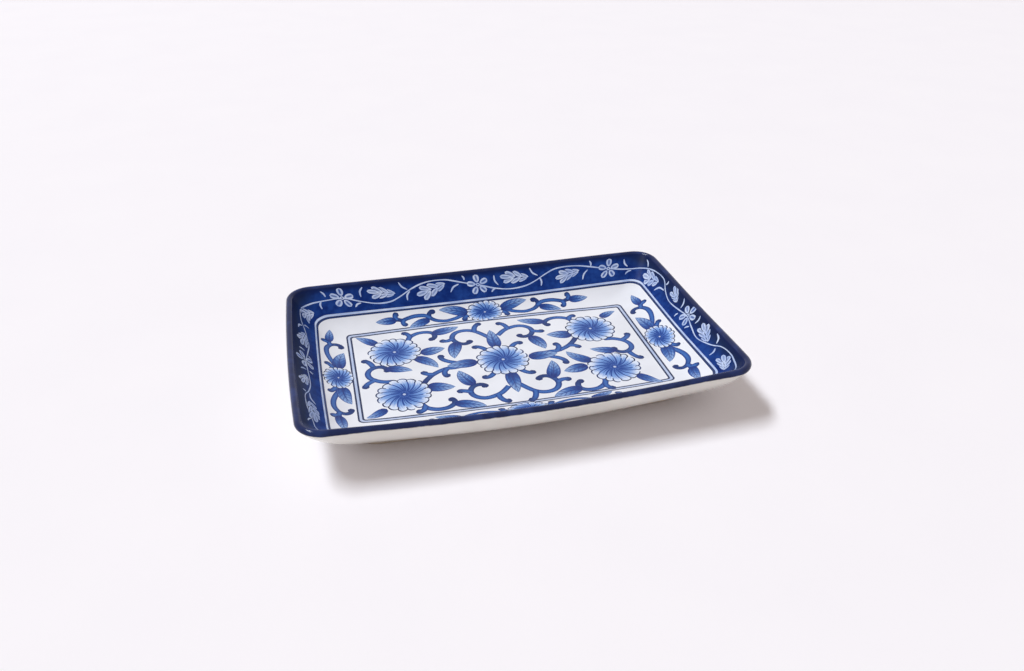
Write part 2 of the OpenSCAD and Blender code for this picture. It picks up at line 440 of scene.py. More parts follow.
# One half of the panel; the other half is the same, turned about the middle. Places are in mm.
PANEL_BLOOMS = ((-32.4, 12.1), (-32.4, -12.1))
PANEL_STEMS = (
    ((-27.4, 17.6), (-26.6, 20.0), (-24.4, 21.8), (-22.2, 22.3), (-20.2, 22.0), (-18.8, 21.0),
     (-18.4, 19.6), (-18.8, 18.1), (-19.8, 17.4), (-20.9, 17.6)),
    ((-26.9, 19.2), (-26.5, 20.7), (-26.9, 22.0), (-27.8, 22.9), (-29.0, 22.6)),
    ((-1.6, 14.4), (-3.7, 17.4), (-5.4, 19.2), (-7.4, 20.2), (-9.6, 20.3), (-11.6, 19.5),
     (-12.8, 17.9), (-13.2, 16.0), (-12.6, 14.1), (-11.3, 12.5), (-9.7, 12.0), (-8.3, 12.6),
     (-7.8, 14.2)),
    ((-5.4, 18.8), (-5.1, 20.6), (-4.5, 22.2), (-3.4, 23.4), (-2.0, 23.4)),
    ((-13.1, 16.0), (-14.6, 15.1), (-16.2, 15.2), (-17.3, 16.1)),
    ((-3.4, 6.2), (-5.0, 8.3), (-6.6, 9.3), (-8.0, 8.4)),
    ((-3.6, -6.0), (-5.5, -8.2), (-7.0, -8.8), (-8.3, -7.8)),
    ((-14.6, 1.5), (-17.0, 2.9), (-18.4, 4.4), (-18.7, 5.8), (-17.9, 7.0)),
    ((-12.6, -0.9), (-15.8, -1.2), (-18.0, -1.2), (-20.4, -2.2), (-22.8, -3.8), (-24.8, -6.0),
     (-26.4, -8.4)),
    ((-22.4, -3.5), (-24.2, -3.0), (-25.1, -1.9), (-25.1, -0.9)),
    ((-18.0, -1.4), (-18.9, -2.9), (-18.9, -4.6), (-17.6, -5.8)),
    ((-39.6, 3.8), (-40.0, 5.6), (-40.7, 7.3), (-41.8, 8.6), (-43.2, 8.2)),
    ((-34.6, -4.6), (-37.4, -4.2), (-39.5, -3.1), (-41.2, -1.4), (-41.8, 0.8), (-41.3, 2.7),
     (-39.9, 4.0), (-38.2, 4.4), (-36.5, 3.7), (-35.8, 2.2), (-36.3, 0.8)),
    ((-40.2, -2.8), (-42.0, -4.0), (-42.9, -5.3), (-43.0, -6.9)),
    ((-28.6, -17.2), (-27.2, -20.0), (-25.5, -21.3), (-23.2, -21.9), (-20.8, -21.5),
     (-18.9, -20.0), (-18.8, -18.4), (-20.3, -17.2)),
    ((-27.3, -19.6), (-27.8, -21.0), (-28.9, -21.7), (-30.4, -21.7)),
    ((-1.6, -14.8), (-4.4, -17.7), (-7.0, -19.0), (-9.5, -19.4), (-11.6, -18.6), (-13.0, -16.9),
     (-13.2, -14.8), (-12.2, -12.9), (-10.5, -12.1), (-8.9, -12.5), (-8.2, -14.2)),
    ((-5.8, -18.4), (-5.3, -20.6), (-4.2, -22.1), (-2.4, -22.4)),
    ((-13.0, -15.4), (-14.5, -14.6), (-16.0, -14.3), (-16.9, -15.2)),
)
# Stems that run on under what they meet, by number, here and in the bands
PANEL_PLAIN_STEMS = (8,)
# Leaves: base, tip, half width and bend
PANEL_LEAVES = (
    ((-37.2, 17.4), (-44.0, 24.0), 1.65, -0.05),
    ((-38.2, -18.2), (-44.6, -21.8), 1.55, 0.08),
    ((-24.5, 9.2), (-16.1, 11.0), 2.25, 0.03),
    ((-26.9, 7.4), (-20.0, -0.4), 1.95, 0.09),
    ((-25.4, -9.7), (-16.7, -11.6), 2.3, -0.02),
    ((-19.2, 20.7), (-9.4, 23.5), 2.05, -0.02),
    ((-12.0, 13.7), (-14.7, 3.5), 2.1, -0.06),
    ((-0.5, 7.0), (-0.3, 19.4), 2.15, 0.0),
    ((-8.0, 0.5), (-18.2, 0.1), 2.3, 0.0),
    ((-36.2, 2.9), (-27.8, 0.1), 1.8, 0.03),
    ((-19.0, -20.0), (-9.6, -23.4), 1.9, 0.03),
    ((-11.6, -12.0), (-14.8, -2.7), 2.1, 0.06),
)
# Back and right bands, then front and left ones: turn in degrees, how far out the long one and how
# far in the short one is painted, and half the length of the short one's flower, in mm
BAND_PAIRS = ((0, 3.3, 0.0, 6.4), (180, 3.8, 0.6, 5.7))
# The long bands are squeezed across, to suit their climb
LONG_SQUEEZE = 0.85
# One arm of a long band, to the right of its flower; x runs along the band and y outward
LONG_STEMS = (
    ((7.4, 30.0), (9.0, 29.2), (10.8, 28.4), (13.7, 27.8), (16.6, 28.5), (18.5, 30.0), (19.0, 31.6),
     (18.0, 32.9), (16.7, 32.3)),
    ((18.6, 30.2), (20.0, 31.4), (21.8, 31.8), (24.2, 31.7), (26.3, 31.1), (28.0, 30.5), (29.4, 30.9),
     (31.0, 31.0)),
    ((29.6, 31.0), (30.3, 32.0), (30.0, 33.0), (29.2, 33.8)),
    ((27.5, 30.7), (28.0, 29.4), (27.5, 28.3), (26.4, 28.0)),
    ((5.0, 30.0), (6.4, 29.2), (7.3, 28.0), (7.2, 26.5)),
)
LONG_PLAIN_STEMS = (1,)
LONG_LEAVES = (
    ((5.4, 30.4), (15.9, 33.5), 2.0, 0.06),
    ((19.0, 29.6), (26.7, 26.0), 1.75, 0.02),
    ((30.0, 30.8), (37.3, 30.8), 1.6, -0.02),
)
# One arm of a short band, above its flower; y runs along the band and x outward
SHORT_STEMS = (
    ((52.2, 7.6), (53.4, 10.6), (54.1, 13.6), (54.0, 16.6), (52.8, 18.8), (51.0, 19.4), (49.6, 18.4),
     (49.6, 16.6)),
    ((52.6, 18.8), (53.1, 20.2), (53.1, 22.0)),
    ((53.1, 20.6), (54.2, 20.8), (55.2, 21.8)),
    ((52.6, 5.2), (54.0, 7.4), (55.4, 8.0)),
)
SHORT_PLAIN_STEMS = (1,)
SHORT_LEAVES = (
    ((51.0, 5.0), (48.9, 15.0), 2.0, -0.08),
)
# The leaf at an arm's end: on the near arm, and a smaller one on the far arm
SHORT_TIPS = (((53.2, 20.6), (52.0, 29.4), 1.5, 0.02), ((53.2, 20.6), (52.3, 27.5), 1.3, 0.02))
# Where the border's vine, blossoms, sprigs and ticks lie: mm along a side from its middle,
# anticlockwise, and tenths of the way up the wall
RIGHT_VINE = ((-39, 7.2), (-33, 6.6), (-28, 7.6), (-23, 7.0), (-19, 4.4), (-12.3, 2.3), (-6, 3.6),
              (-0.6, 5.2), (4, 4.6), (9, 3.8), (13, 3.8), (17, 5.5), (20.5, 8.2), (27, 7.6), (35, 4.8))
BACK_VINE = ((-55, 4.1), (-47.3, 5.2), (-40.7, 6.8), (-36, 7.8), (-31.3, 8.1), (-27.5, 7.7),
             (-24.2, 6.2), (-20.3, 4.0), (-16.5, 2.6), (-11, 2.2), (-5.5, 3.2), (0, 5.2), (4, 6.3),
             (8, 7.6), (11, 8.4), (15.4, 8.5), (19.2, 7.8), (23.1, 6.2), (27.5, 3.8), (31.3, 2.3),
             (36, 2.2), (41, 3.6), (46, 5.4))
RIGHT_BLOSSOMS = ((-0.6, 5.7),)
BACK_BLOSSOMS = ((-47.3, 5.2), (0, 5.2), (46.2, 5.5))
# Sprigs, from base to end
RIGHT_SPRIGS = ((-33.5, 1.8, -26.6, 5.2), (-17, 4.2, -8.6, 7.4), (8.2, 5.6, 13.8, 9.0),
                (22.5, 5.4, 33, 2.4))
BACK_SPRIGS = ((-36.6, 5.8, -28, 3.8), (-18.1, 5.8, -8.2, 7.0), (11, 6.8, 21.4, 3.5),
               (28.6, 5.0, 37.4, 6.8))
# Ticks, from end to end
RIGHT_TICKS = ((-23.4, 1.4, -21.8, 4.8), (-20.2, 6.4, -16.7, 9.2), (-6, 5.6, -5.4, 9.2),
               (-5, 3.0, -3.8, 1.2), (4.1, 3.2, 4.7, 1.2), (4.7, 5.5, 6, 9.2), (17.7, 5.0, 23, 1.8),
               (18, 7.3, 17.4, 9.2), (32, 6.5, 33.4, 8.8))
BACK_TICKS = ((-56, 3.5, -53.9, 2.2), (-52.8, 8.2, -54.4, 5.2), (-40.7, 7.0, -40.1, 9.2),
              (-39.6, 5.8, -37.9, 2.2), (-22.5, 1.8, -22, 5.2), (-18.7, 9.2, -21.4, 6.0),
              (-6, 8.0, -7.1, 4.2), (-6, 3.0, -4.4, 1.8), (4.4, 7.5, 4.9, 9.2), (6.6, 6.2, 9.9, 3.5),
              (23.6, 5.5, 25.3, 2.2), (26.4, 9.2, 24.2, 6.2), (38.5, 8.8, 40.1, 5.2),
              (40.9, 3.0, 43.3, 1.6), (51.2, 6.6, 52, 8.8), (53.2, 5.2, 54.2, 2.2))
# A sprig's leaflets: share of the stalk, lean in degrees and share of the full length
SPRIG = ((0.0, 20, 0.8), (0.08, -22, 0.8), (0.38, 27, 0.95), (0.46, -27, 0.95), (0.78, 29, 1.0),
         (0.86, -29, 1.0), (1.0, 2, 1.0))
# How wide the line of wash round a leaflet is, in mm
LEAFLET_GAP = 0.26
# A leaflet's length in mm, the share of its sprig's size that goes on top, and the share of its
# length that its half width is
LEAFLET = 2.7
LEAFLET_MORE = 0.15
LEAFLET_WIDE = 0.26
# A blossom's petals: start, end and half width, and the sizes of its eye and of the spot in it, in mm
BLOSSOM_PETAL = (0.8, 3.85, 1.0)
BLOSSOM_EYE = 0.66
BLOSSOM_SPOT = 0.27
# How many points the vine has, its half width in mm, how much it swells, and how often
VINE_POINTS = 700
VINE_HALF = 0.21
VINE_SWELL = 0.04
VINE_SWELLS = 31
# How the painter slipped on each side: mm along it, squeeze and tenths up it
SLIPS = ((0, 1, 0), (0, 1, 0), (-3.2, 0.75, -0.2), (0, 1, 0))


class Place:
    """Where a motif lies on its sheet: mirrored or not, turned in degrees, moved in mm."""

    def __init__(self, x=0.0, y=0.0, turn=0.0, flip=1.0, then=None):
        c, s = math.cos(math.radians(turn)), math.sin(math.radians(turn))
        self.turned = np.array(((c, s), (-s, c)))
        self.flip = np.array((1.0, flip))
        self.shift = np.array((x, y))
        self.then = then

    def __call__(self, points):
        moved = (np.asarray(points, float) * self.flip) @ self.turned + self.shift
        return self.then(moved) if self.then else moved


class Sheet:
    """A flat sheet of brushwork in mm, patch over patch in painting order."""

    def __init__(self, seed, high=1.0):
        self.points = []
        self.loops = []
        self.kinds = []
        self.brush = []
        self.high = high
        self.chance = random.Random(seed)

    def share_up(self, place, spot):
        """Share of the wall's height at one spot of a motif."""
        return float(place(np.array((spot,)))[0, 1]) / self.high

    def add(self, points):
        """Adds points and gives their numbers."""
        first = len(self.points)
        self.points.extend((float(x), float(y)) for x, y in points)
        return list(range(first, len(self.points)))

    def patch(self, loop, kind, brush):
        """One patch: its corners, its finish and its brush values (along, across, tone)."""
        # Corners that fall on one spot count once
        rows = {}
        for number, row in zip(loop, brush):
            rows.setdefault(tuple(np.round(self.points[number], 5)), (number, row))
        if len(rows) < 3:
            return
        loop, brush = zip(*rows.values())
        xy = np.array([self.points[n] for n in loop])
        ahead = np.roll(xy, -1, 0)
        area = (xy[:, 0] * ahead[:, 1] - xy[:, 1] * ahead[:, 0]).sum() / 2
        if abs(area) < SLIVER * np.linalg.norm(ahead - xy, axis=1).max():
            return
        turn = 1 if area > 0 else -1
        self.loops.append(list(loop)[::turn])
        self.kinds.append(KINDS.index(kind))
        flat = np.column_stack((xy, np.ones(len(xy))))
        self.brush.append(np.linalg.lstsq(flat, np.array(brush, float), rcond=None)[0])

    def area(self, points, kind, tone):
        """A plain area of one finish."""
        loop = self.add(points)
        self.patch(loop, kind, [(0.5, 0.0, tone)] * len(loop))

    def stroke(self, place, path, half, kind, tone=None, upright=False, reach=1.0):
        """A brush stroke along a path with the half widths given, parted along its middle.

        An upright stroke is measured straight up from its path, so that it ends square. A
        reach below 1 stops it before the brush has run dry.
        """
        tone = self.chance.random() if tone is None else tone
        path, half = np.asarray(path, float), np.asarray(half, float)
        ahead = np.gradient(path, axis=0)
        ahead /= np.maximum(np.linalg.norm(ahead, axis=1), 1e-9)[:, None]
        side = np.column_stack((-ahead[:, 1], ahead[:, 0])) * half[:, None]
        if upright:
            side = np.column_stack((0 * half, half / ahead[:, 0]))
        run = run_along(path)
        along = reach * run / run[-1]
        mid = self.add(place(path))
        for hand in (1, -1):
            edge = self.add(place(path + hand * side))
            for i in range(len(path) - 1):
                near, far = along[i], along[i + 1]
                self.patch((mid[i], mid[i + 1], edge[i + 1]), kind,
                           ((near, 0, tone), (far, 0, tone), (far, hand, tone)))
                self.patch((mid[i], edge[i + 1], edge[i]), kind,
                           ((near, 0, tone), (far, hand, tone), (near, hand, tone)))

    def cut(self, extra):
        """Cuts the sheet along its brushwork: places, triangles, their finishes and brush values."""
        points = [Vector(p) for p in (*self.points, *extra)]
        xy, _, faces, came, _, over = delaunay_2d_cdt(points, [], self.loops, INSIDE, SAME, True)
        kept = [i for i, patches in enumerate(over) if patches]
        top = np.array([max(over[i]) for i in kept])
        self.number = {old: new for new, olds in enumerate(came) for old in olds}
        xy, faces = np.array(xy), np.array([faces[i] for i in kept])
        flat = np.concatenate((xy[faces], np.ones((*faces.shape, 1))), -1)
        brush = np.einsum("fck,fkb->fcb", flat, np.array(self.brush)[top])
        return xy, faces, np.array(self.kinds)[top], brush


def run_along(path):
    """Length run along a path up to each of its points."""
    return np.concatenate(((0,), np.cumsum(np.linalg.norm(np.diff(path, axis=0), axis=1))))


def smooth(points, step):
    """A smooth path through points, in steps of about step mm."""
    points = np.asarray(points, float)
    ends = np.vstack((2 * points[0] - points[1], points, 2 * points[-1] - points[-2]))
    path = [points[:1]]
    for a, b, c, d in zip(ends, ends[1:], ends[2:], ends[3:]):
        n = max(2, round(float(np.linalg.norm(c - b)) / step))
        t = (np.arange(n) + 1)[:, None] / n
        path.append(0.5 * (2 * b + (c - a) * t + (2 * a - 5 * b + 4 * c - d) * t ** 2
                           + (3 * b - 3 * c + d - a) * t ** 3))
    return np.vstack(path)


def stem(sheet, place, points, half, knob):
    """A stem of even width that ends in a rounded knob, or runs out under what it meets."""
    path = smooth(points, 0.4)
    width = np.full(len(path), half)
    if knob:
        left = run_along(path[::-1])[::-1]
        ball = 1.25 * half
        near = np.sqrt(np.maximum(ball ** 2 - (ball - left) ** 2, 0))
        width = np.where(left < ball, near, np.maximum(width, near * (left < 2 * ball)))
    sheet.stroke(place, path, width, "stem")


def leaf(sheet, place, base, tip, half, bend):
    """A leaf from its broad base to its pointed tip, bent to one side."""
    run = (tip - base) * LEAF_RUN
    aside = np.array((-run[1], run[0])) * bend
    path = smooth([base + run * share + aside * out for share, out in LEAF_BEND], 0.5)
    share = np.linspace(0, 1, len(path))
    width = half * LEAF_FULL * share ** 0.5 * (1 - share) ** 0.85
    sheet.stroke(place, path, width, "leaf")


def scroll(sheet, place, hand, stems, plain, half, leaves):
    """Stems and then leaves, mirrored by hand. The stems numbered in plain end without a knob."""
    for number, points in enumerate(stems):
        stem(sheet, place, np.array(points) * hand, half, number not in plain)
    for base, tip, width, bend in leaves:
        leaf(sheet, place, np.array(base) * hand, np.array(tip) * hand, width, bend * min(hand))


def bloom(sheet, place, rx, ry, reach=1.0):
    """A many-petalled flower: pale scalloped rim, shaded petals, fine lines and an eye."""
    chance = sheet.chance
    start = chance.uniform(0, 6)
    turns = [start + 2 * math.pi * (i + chance.uniform(*PETAL_STRAY)) / PETALS for i in range(PETALS)]
    turns.append(turns[0] + 2 * math.pi)
    petals = list(zip(turns, turns[1:]))
    size = np.array((rx, ry))
    fine = min(rx, ry) / 8
    hairline = 0.5 + 0.5 * fine

    def spot(r, turn):
        """Places at shares r of the flower's size."""
        return np.column_stack((np.cos(turn), np.sin(turn))) * np.asarray(r)[:, None] * size

    def pull(r, turn):
        """A pull of the brush outward, which swirls as it goes."""
        return spot(r, turn + SWIRL * (r - 0.85))

    # The scalloped rim, as one pale patch
    arcs = []
    for a, b in petals:
        share = np.linspace(0, 1, 9)
        tip = chance.uniform(*PETAL_TIP)
        r = mix(NOTCH, tip, np.sin(math.pi * share) ** 0.7)
        arcs.append((share, mix(a, b, share), r))
    rim = sheet.add(place(np.vstack([spot(r[:-1], turn[:-1]) for _, turn, r in arcs])))
    sheet.patch(rim, "petal", [(1.0, 0.0, 0.5)] * len(rim))
    # Petals, each one pull from the eye to short of the rim
    for a, b in petals:
        r = np.linspace(0.08, chance.uniform(*PETAL_REACH), 12)
        share = np.linspace(0, 1, 12)
        wide = (b - a) / 2 * r * (rx + ry) / 2 * (1 - share ** 6) ** 0.5
        sheet.stroke(place, pull(r, (a + b) / 2), wide, "petal", reach=reach)
    # Hairs between the petals, and a shorter one on most petals
    for a, b in petals:
        r = np.linspace(HAIR_AT[0], chance.choice(HAIR_REACH), 9)
        hair = pull(r, a + chance.uniform(-0.03, 0.03))
        sheet.stroke(place, hair, np.interp(r, HAIR_AT, HAIR_WIDE) * hairline, "line", 0.0)
        if chance.random() < HAIRY:
            r = np.linspace(0.2, chance.uniform(*SHORT_HAIR_REACH), 6)
            hair = pull(r, mix(a, b, chance.uniform(0.35, 0.65)))
            sheet.stroke(place, hair, np.linspace(0.17, 0.07, 6) * hairline, "line", 0.0)
    # Outlines of the scallops, some of which stop short
    for share, turn, r in arcs:
        keep = share < chance.choice((0.85, 1.01, 1.01))
        notch = spot(np.array((0.8, 0.86)), np.array((turn[0] - 0.04, turn[0])))
        path = smooth(np.vstack((notch, spot(r[keep], turn[keep]))), 0.35)
        width = 0.15 + 0.09 * np.sin(np.linspace(0.5, 3.1, len(path))) ** 2
        sheet.stroke(place, path, width * (0.4 + 0.6 * fine), "line", chance.uniform(0.5, 0.85))
    eye = np.linspace(0, 2 * math.pi, 17)[:-1]
    sheet.area(place(spot(np.full(16, EYE), eye)), "line", 0.0)
    sheet.area(place(spot(np.full(16, EYE_SPOT), eye)), "tint", 0.9)


def rounded(half_x, half_y, r, bow):
    """Outline of a rounded rectangle whose long sides bow outward."""
    steps = 10
    points = []
    for k, (sx, sy) in enumerate(((1, 1), (-1, 1), (-1, -1), (1, -1))):
        for i in range(steps + 1):
            a = math.radians(90 * (k + i / steps))
            points.append((sx * (half_x - r) + r * math.cos(a), sy * (half_y - r) + r * math.sin(a)))
        if k % 2 == 0:
            for i in range(1, 2 * steps):
                t = 1 - i / steps
                points.append((sx * t * (half_x - r), sy * (half_y + bow * (1 - t * t))))
    return np.array(points)


def paint_well(turn, rim):
    """The well's brushwork in plan: fold lines, panel frame, panel and the four bands."""
    sheet = Sheet(WELL_SEED)
    sheet.area(rim, "wash", 0.0)
    reach = np.abs(rim).max(0)
    for inset, kind, tone in FOLD_LOOPS:
        loop = rim * (1 - np.array(inset) / reach)
        loop[:, 0] += LEFT_WASH * (1 - loop[:, 0] / reach[0]) / 2
        sheet.area(loop, kind, tone)
    panel = Place(*PANEL_AT, turn)
    for half_x, half_y, r, kind, tone in FRAME_LOOPS:
        sheet.area(panel(rounded(half_x, half_y, r, FRAME_BOW)), kind, tone)
    middle = Place(*MIDDLE_AT, then=panel)
    halves = [Place(turn=half, then=middle) for half in (0, 180)]
    for half in halves:
        scroll(sheet, half, (1, 1), PANEL_STEMS, PANEL_PLAIN_STEMS, PANEL_HALF, PANEL_LEAVES)
    for half in halves:
        for x, y in PANEL_BLOOMS:
            bloom(sheet, Place(x, y, then=half), *PANEL_BLOOM)
    bloom(sheet, middle, *MIDDLE_BLOOM)
    for half, shift, inward, tall in BAND_PAIRS:
        whole = Place(turn=half)
        along = Place(LONG_AT[0], shift, 0, LONG_SQUEEZE, whole)
        across = Place(-inward, SHORT_AT[1], then=whole)
        for hand in (1, -1):
            scroll(sheet, along, (hand, 1), LONG_STEMS, LONG_PLAIN_STEMS, LONG_HALF, LONG_LEAVES)
            leaves = (*SHORT_LEAVES, SHORT_TIPS[(hand == 1) == (half == 0)])
            scroll(sheet, across, (1, hand), SHORT_STEMS, SHORT_PLAIN_STEMS, SHORT_HALF, leaves)
        bloom(sheet, Place(LONG_AT[0], shift + LONG_AT[1] * LONG_SQUEEZE, then=whole), *LONG_BLOOM, 0.94)
        bloom(sheet, Place(SHORT_AT[0] - inward, SHORT_AT[1], then=whole), SHORT_BLOOM, tall, 0.9)
    return sheet


class Unrolled:
    """The inner wall unrolled, in mm: s runs anticlockwise round it from a seam, and w up it."""

    def __init__(self, form):
        self.form = form
        _, _, slopes = form.arc(form.fold, form.inner_top, form.inner_slope, np.array((0.0, 1.0)))
        half_bend = (slopes[1] - slopes[0]) / 2
        self.high = math.hypot(*(form.inner_top - form.fold)) * half_bend / math.sin(half_bend)
        self.fine = np.linspace(0, 8, RUN_POINTS)
        self.ends = run_along(form.at(form.wall(np.array(0.5)), self.fine))
        self.total = self.ends[-1]
        self.start = 0.0
        # The seam lies on the front side, between a tick and a sprig, where only the vine crosses
        places = outline_places()
        seam = self.run_to(MIDDLES[3]) + SEAM
        first = int(np.argmin(np.abs(self.run_to(places) - seam)))
        self.places = np.roll(places, -first)
        self.start = self.run_to(self.places[0])
        self.marks = self.run_to(self.places)
        # Middles of the four sides, and the wall's true widths there
        self.middles = self.run_to(MIDDLES)
        climb = form.at(form.wall(np.linspace(0, 1, CLIMB_POINTS))[:, None, :], MIDDLES[None, :])
        self.widths = np.linalg.norm(np.diff(climb, axis=0), axis=2).sum(0)

    def run_to(self, place):
        """How far round the wall a place of the outline lies."""
        return (np.interp(place, self.fine, self.ends) - self.start) % self.total

    def lifted(self, s, w):
        """Points of the wall at s and w."""
        place = np.interp((s + self.start) % self.total, self.ends, self.fine)
        return self.form.at(self.form.wall(np.clip(w / self.high, 0, 1)), place)

    def normals(self, s, w):
        """Directions that the wall looks in at s and w."""
        w = np.clip(w, 2 * WALL_STEP, self.high - 2 * WALL_STEP)
        along = self.lifted(s + WALL_STEP, w) - self.lifted(s - WALL_STEP, w)
        up = self.lifted(s, w + WALL_STEP) - self.lifted(s, w - WALL_STEP)
        facing = unit(np.cross(along, up))
        return facing * np.where(facing[:, 2] < 0, -1, 1)[:, None]


class Wall:
    """Takes true mm on one side's wall to the border's sheet, clear of the sheet's edges."""

    def __init__(self, high, width):
        self.high = high
        self.stretch = (1, high / width)

    def __call__(self, points):
        points = np.asarray(points, float) * self.stretch
        points[..., 1] = np.clip(points[..., 1], 0.1, self.high - 0.1)
        return points


def reserve_petal(sheet, place, start, end, half, hollow, gap=0.0):
    """A petal or leaflet drawn as a pale loop in the wash, with a gap of wash round it."""
    run = np.linspace(0, 1, 10)
    path = mix(np.array(start, float), np.array(end, float), run[:, None])
    width = half * 2.05 * run ** 0.62 * (1 - run) ** 0.42
    if gap:
        sheet.stroke(place, path, width, "wash", sheet.share_up(place, path.mean(0)))
    tone = hollow * sheet.chance.uniform(0.7, 1.0)
    sheet.stroke(place, path, width * (1 - gap / half), "reserve", tone)


def blossom(sheet, place):
    """A five-petalled blossom with a small eye."""
    near, far, half = BLOSSOM_PETAL
    start = 90 + sheet.chance.uniform(-9, 9)
    for i in range(5):
        a = math.radians(start + 72 * i + sheet.chance.uniform(-4, 4))
        way = np.array((math.cos(a), math.sin(a)))
        reserve_petal(sheet, place, way * near, way * far, half, 1.0)
    turn = np.arange(12) * math.pi / 6
    eye = np.column_stack((np.cos(turn), np.sin(turn)))
    sheet.area(place(eye * BLOSSOM_EYE), "reserve", 0.0)
    sheet.area(place(eye * BLOSSOM_SPOT), "wash", sheet.share_up(place, (0.0, 0.0)))


def sprig(sheet, place, size):
    """An ear of seven leaflets, from its pointed base outward, parted by thin lines of wash."""
    leaflet = LEAFLET + LEAFLET_MORE * size
    run = size - 0.95 * leaflet
    for share, lean, full in SPRIG:
        a = math.radians(lean + sheet.chance.uniform(-4, 4))
        start = np.array((share * run, 0.12 * math.copysign(1, lean)))
        end = start + full * leaflet * np.array((math.cos(a), math.sin(a)))
        reserve_petal(sheet, place, start, end, LEAFLET_WIDE * full * leaflet, 0.6, LEAFLET_GAP)


def tick(sheet, place, size):
    """A short curved tick beside the vine."""
    path = smooth(((0, 0), (size / 2, 0.13 * size), (size, 0)), 0.4)
    width = 0.29 * np.sqrt(np.sin(np.linspace(0.2, 3.0, len(path))))
    sheet.stroke(place, path, width, "reserve", 0.0)


def paint_border(unrolled):
    """The border's brushwork on the unrolled wall: the wash, and what is left pale in it."""
    total, high, middles = unrolled.total, unrolled.high, unrolled.middles
    sheet = Sheet(BORDER_SEED, high)
    marks = np.append(unrolled.marks, total)
    rim = np.vstack((np.column_stack((marks, 0 * marks)),
                     np.column_stack((marks[::-1], np.full(len(marks), high)))))
    sheet.patch(sheet.add(rim), "wash", [(s / total, 0.0, w / high) for s, w in rim])
    sides = ((RIGHT_VINE, RIGHT_BLOSSOMS, RIGHT_SPRIGS, RIGHT_TICKS),
             (BACK_VINE, BACK_BLOSSOMS, BACK_SPRIGS, BACK_TICKS)) * 2
    knots = sorted(((mid + x + slip[0]) % total, (w * slip[1] + slip[2]) * high / 10)
                   for mid, slip, side in zip(middles, SLIPS, sides) for x, w in side[0])
    around = np.vstack((np.array(knots[-3:]) - (total, 0), knots, np.array(knots[:3]) + (total, 0)))
    path = smooth(around, 0.6)
    s = np.linspace(0, total, VINE_POINTS)
    vine = np.column_stack((s, np.interp(s, path[:, 0], path[:, 1])))
    half = VINE_HALF + VINE_SWELL * np.sin(s * 2 * math.pi / total * VINE_SWELLS)
    sheet.stroke(Place(), vine, half, "reserve", 0.0, upright=True)
    for mid, width, slip, (_, blossoms, sprigs, ticks) in zip(
            middles, unrolled.widths, SLIPS, sides):
        wall = Wall(high, width)
        tenth = width / 10

        def between(x, w, end_x, end_w):
            """Place at one end of a motif, turned towards its other end, and its length."""
            run, climb = end_x - x, (end_w - w) * slip[1] * tenth
            turn = math.degrees(math.atan2(climb, run))
            place = Place((mid + x + slip[0]) % total, (w * slip[1] + slip[2]) * tenth, turn, then=wall)
            return place, math.hypot(run, climb)

        for ends in ticks:
            tick(sheet, *between(*ends))
        for ends in sprigs:
            place, size = between(*ends)
            sprig(sheet, place, size)
        for x, w in blossoms:
            blossom(sheet, between(x, w, x + 1, w)[0])
    return sheet


# Materials

def add(tree, kind, inputs=(), **settings):
    """Adds a shader node with its settings and gives its outputs.

    Inputs are listed in order, or by name or number. Each is a value, or the socket that feeds it.
    """
    node = tree.nodes.new("ShaderNode" + kind)
    for key, value in settings.items():
        setattr(node, key, value)
    for key, value in inputs.items() if isinstance(inputs, dict) else enumerate(inputs):
        if isinstance(value, bpy.types.NodeSocket):
            tree.links.new(value, node.inputs[key])
        else:
            node.inputs[key].default_value = value
    return node.outputs


def rgba(value):
    """A colour, or an sRGB hex value, with full alpha. A socket that gives a colour stays as it is."""
    if isinstance(value, bpy.types.NodeSocket):
        return value
    return (*(linear(value) if isinstance(value, str) else value), 1.0)


